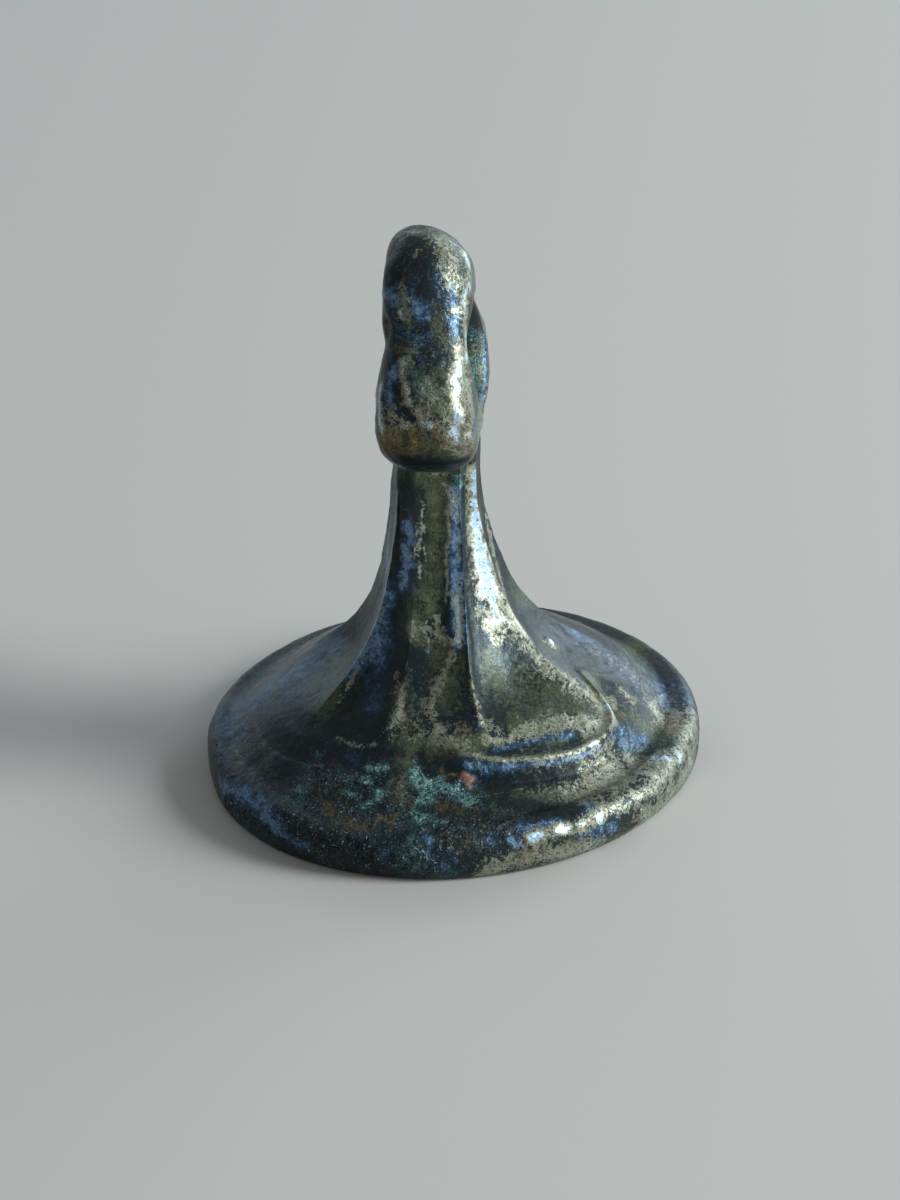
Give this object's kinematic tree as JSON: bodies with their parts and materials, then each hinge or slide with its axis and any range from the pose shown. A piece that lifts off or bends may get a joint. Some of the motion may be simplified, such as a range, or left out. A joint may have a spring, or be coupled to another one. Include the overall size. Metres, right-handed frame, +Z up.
{
  "type": "seal matrix",
  "caption": "Small round seal matrix in copper alloy: an engraved die on a flared, faceted shank with a pierced trefoil head for hanging.",
  "frame": {"origin": "middle of the engraved face, on the plane that the matrix stands on", "axes": "+Z up the shank to the head; the head is flat to the XZ plane and its hole runs along Y"},
  "size_m": [0.0186, 0.0186, 0.0212],
  "materials": {
    "die_patina": "dark blue-green patina, pitted on the rim, with crusts of teal and rust and a worn lower edge",
    "shank_patina": "smooth dark olive and blue-black patina, worn to pale brass on the ridges and the bead",
    "head_patina": "blotched dark patina rubbed to bare metal on the rounded edges"
  },
  "bodies": {
    "root": {"seal_die": "die_patina", "shank": "shank_patina", "suspension_head": "head_patina"}
  },
  "joints": []
}
